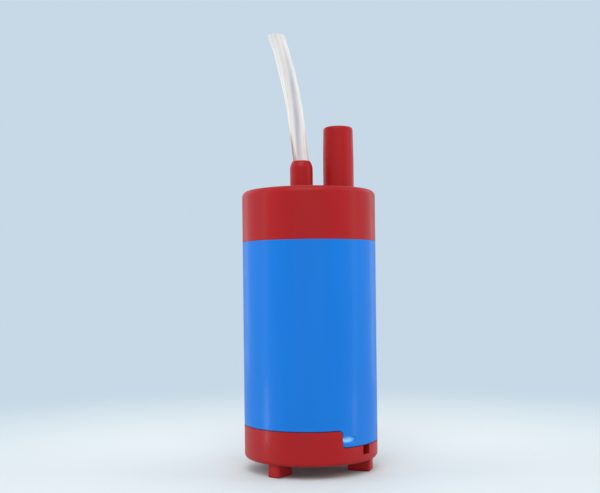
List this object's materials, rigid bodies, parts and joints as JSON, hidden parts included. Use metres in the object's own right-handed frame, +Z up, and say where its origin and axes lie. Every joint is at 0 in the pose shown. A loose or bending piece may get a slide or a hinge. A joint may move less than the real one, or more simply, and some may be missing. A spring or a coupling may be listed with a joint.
{
  "type": "submersible water pump",
  "caption": "Slim submersible caravan water pump: round housing between a cap with hose tail and cable gland and a keyed base on feet, with a sealed motor inside that drives an impeller.",
  "frame": {"origin": "on the pump's axis, in the plane that the feet stand on", "axes": "+Z up along the axis, -Y towards the viewer of the picture, +X to the right"},
  "size_m": [0.045, 0.045, 0.1456],
  "materials": {
    "blue_plastic": "satin moulded plastic",
    "red_plastic": "satin moulded plastic",
    "black_rubber": "moulded rubber",
    "cable_sheath": "milky clear vinyl",
    "grey_plastic": "moulded",
    "ivory_plastic": "moulded",
    "bright_steel": "plated",
    "magnet": "sintered ferrite",
    "bronze": "sintered, oiled",
    "black_plastic": "moulded",
    "brass": "pressed sheet",
    "carbon": "pressed carbon",
    "capacitor": "dipped ceramic",
    "lead_red": "vinyl insulation",
    "lead_white": "vinyl insulation",
    "laminations": "stacked sheet",
    "insulator": "nylon",
    "copper_wire": "enamelled wire",
    "copper": "turned",
    "phenolic": "moulded"
  },
  "bodies": {
    "pump_body": {"housing": "blue_plastic", "top_cap": "red_plastic", "hose_tail": "red_plastic", "cable_gland": "red_plastic", "base": "red_plastic", "cap_o_ring": "black_rubber", "base_o_ring": "black_rubber", "cable": "cable_sheath", "cable_inner": "cable_sheath", "cable_seal": "black_rubber", "motor_sleeve": "grey_plastic", "motor_cover": "grey_plastic", "cover_o_ring": "black_rubber", "shaft_seal": "black_rubber", "motor_can": "bright_steel", "magnets": "magnet", "magnet_clips": "bright_steel", "front_bearing": "bronze", "rear_bearing": "bronze", "end_bell": "black_plastic", "brush_holders": "brass", "brush_spring_left": "bright_steel", "brush_spring_right": "bright_steel", "terminals": "brass", "suppressor_capacitor": "capacitor", "lead_left": "lead_red", "lead_right": "lead_white"},
    "rotor": {"shaft": "bright_steel", "impeller": "ivory_plastic", "armature_core": "laminations", "armature_insulators": "insulator", "windings": "copper_wire", "commutator": "copper", "commutator_hub": "phenolic", "thrust_washers": "insulator"},
    "left_brush": {"brush_left": "carbon"},
    "right_brush": {"brush_right": "carbon"}
  },
  "joints": [
    {"name": "rotor_spin", "type": "hinge", "parent": "pump_body", "child": "rotor", "pos_m": [0, 0, 0.04], "axis": [0, 0, 1], "continuous": true},
    {"name": "left_brush_slide", "type": "slide", "parent": "pump_body", "child": "left_brush", "axis": [-1, 0, 0], "range_m": [0, 0.0016], "stiffness_N_per_m": 80, "springref_m": -0.006, "deforming": ["brush_spring_left"]},
    {"name": "right_brush_slide", "type": "slide", "parent": "pump_body", "child": "right_brush", "axis": [1, 0, 0], "range_m": [0, 0.0016], "stiffness_N_per_m": 80, "springref_m": -0.006, "deforming": ["brush_spring_right"]}
  ]
}
